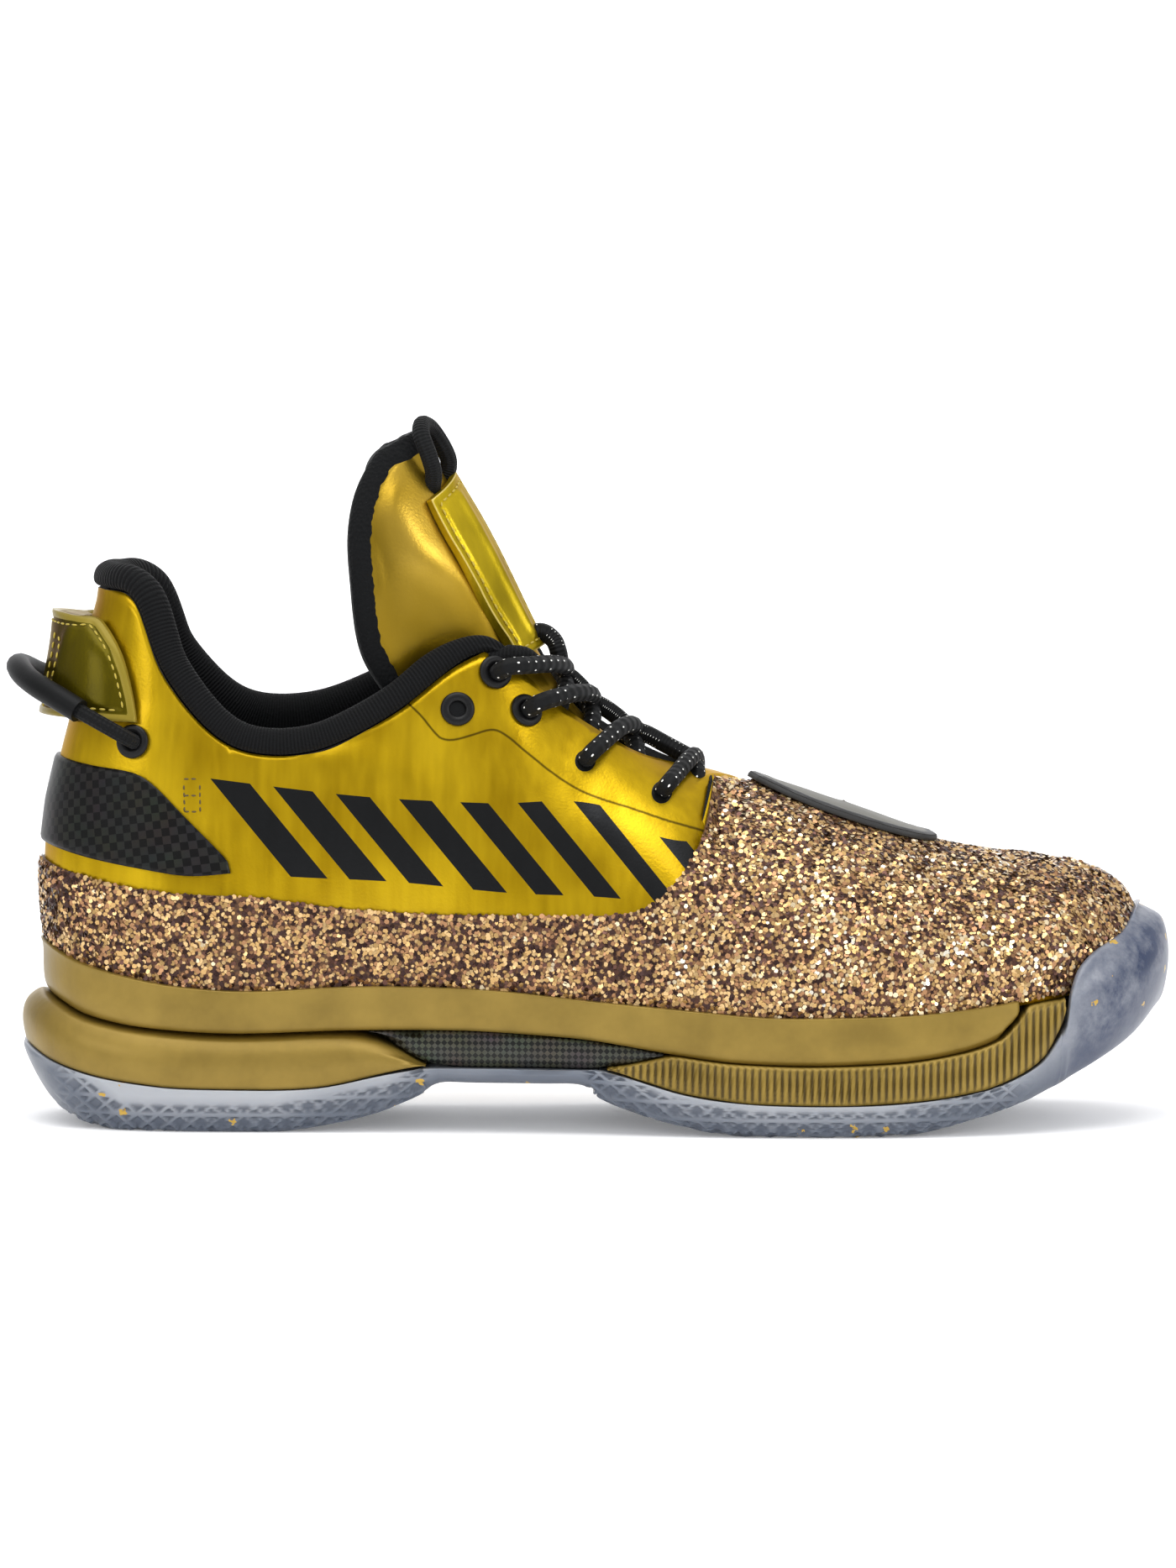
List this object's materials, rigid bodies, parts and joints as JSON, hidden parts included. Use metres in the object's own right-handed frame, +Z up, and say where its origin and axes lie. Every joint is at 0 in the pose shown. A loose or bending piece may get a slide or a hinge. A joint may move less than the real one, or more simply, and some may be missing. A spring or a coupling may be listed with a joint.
{
  "type": "basketball shoe",
  "caption": "Low basketball shoe for the right foot: layered sole with ribbed forefoot and toe wrap, hollow upper with padded collar, tongue, laces, side stripes and heel pull loop.",
  "frame": {"origin": "centre of the shoe's box in plan, on the floor that the sole stands on", "axes": "+X towards the toe, -Y towards the lateral (outer) side, +Z up"},
  "size_m": [0.3062, 0.1066, 0.1856],
  "materials": {
    "gold_film": "gold film on cloth, satin",
    "glitter_cloth": "glitter",
    "gold_paint": "painted foam, satin",
    "clear_rubber": "translucent rubber",
    "carbon_check": "woven check under gloss",
    "black_knit": "padded knit",
    "black_lace": "woven cord",
    "olive_film": "olive gold film on cloth",
    "black_rubber": "matt rubber",
    "footbed_cloth": "matt cloth"
  },
  "bodies": {
    "root": {"outsole": "clear_rubber", "heel_wedge": "gold_paint", "forefoot_wedge": "gold_paint", "shank_plate": "carbon_check", "midsole_rail": "gold_paint", "insole": "footbed_cloth", "upper": "gold_film", "glitter_overlay": "glitter_cloth", "heel_counter": "carbon_check", "collar_padding": "black_knit", "tongue": "gold_film", "tongue_strap": "olive_film", "tongue_pull_loop": "black_lace", "heel_tab": "olive_film", "heel_loop_sleeve": "black_rubber", "heel_loop_cord_lateral": "black_lace", "heel_loop_cord_medial": "black_lace", "heel_ring_lateral": "black_rubber", "heel_ring_medial": "black_rubber", "eyelet_top_lateral": "black_rubber", "eyelet_top_medial": "black_rubber", "eyelet_spare_lateral": "black_rubber", "eyelet_spare_medial": "black_rubber", "eyelet_second_lateral": "black_rubber", "eyelet_second_medial": "black_rubber", "lace_crossing_1": "black_lace", "lace_crossing_2": "black_lace", "lace_crossing_3": "black_lace", "lace_crossing_4": "black_lace", "toe_badge": "carbon_check"}
  },
  "joints": []
}
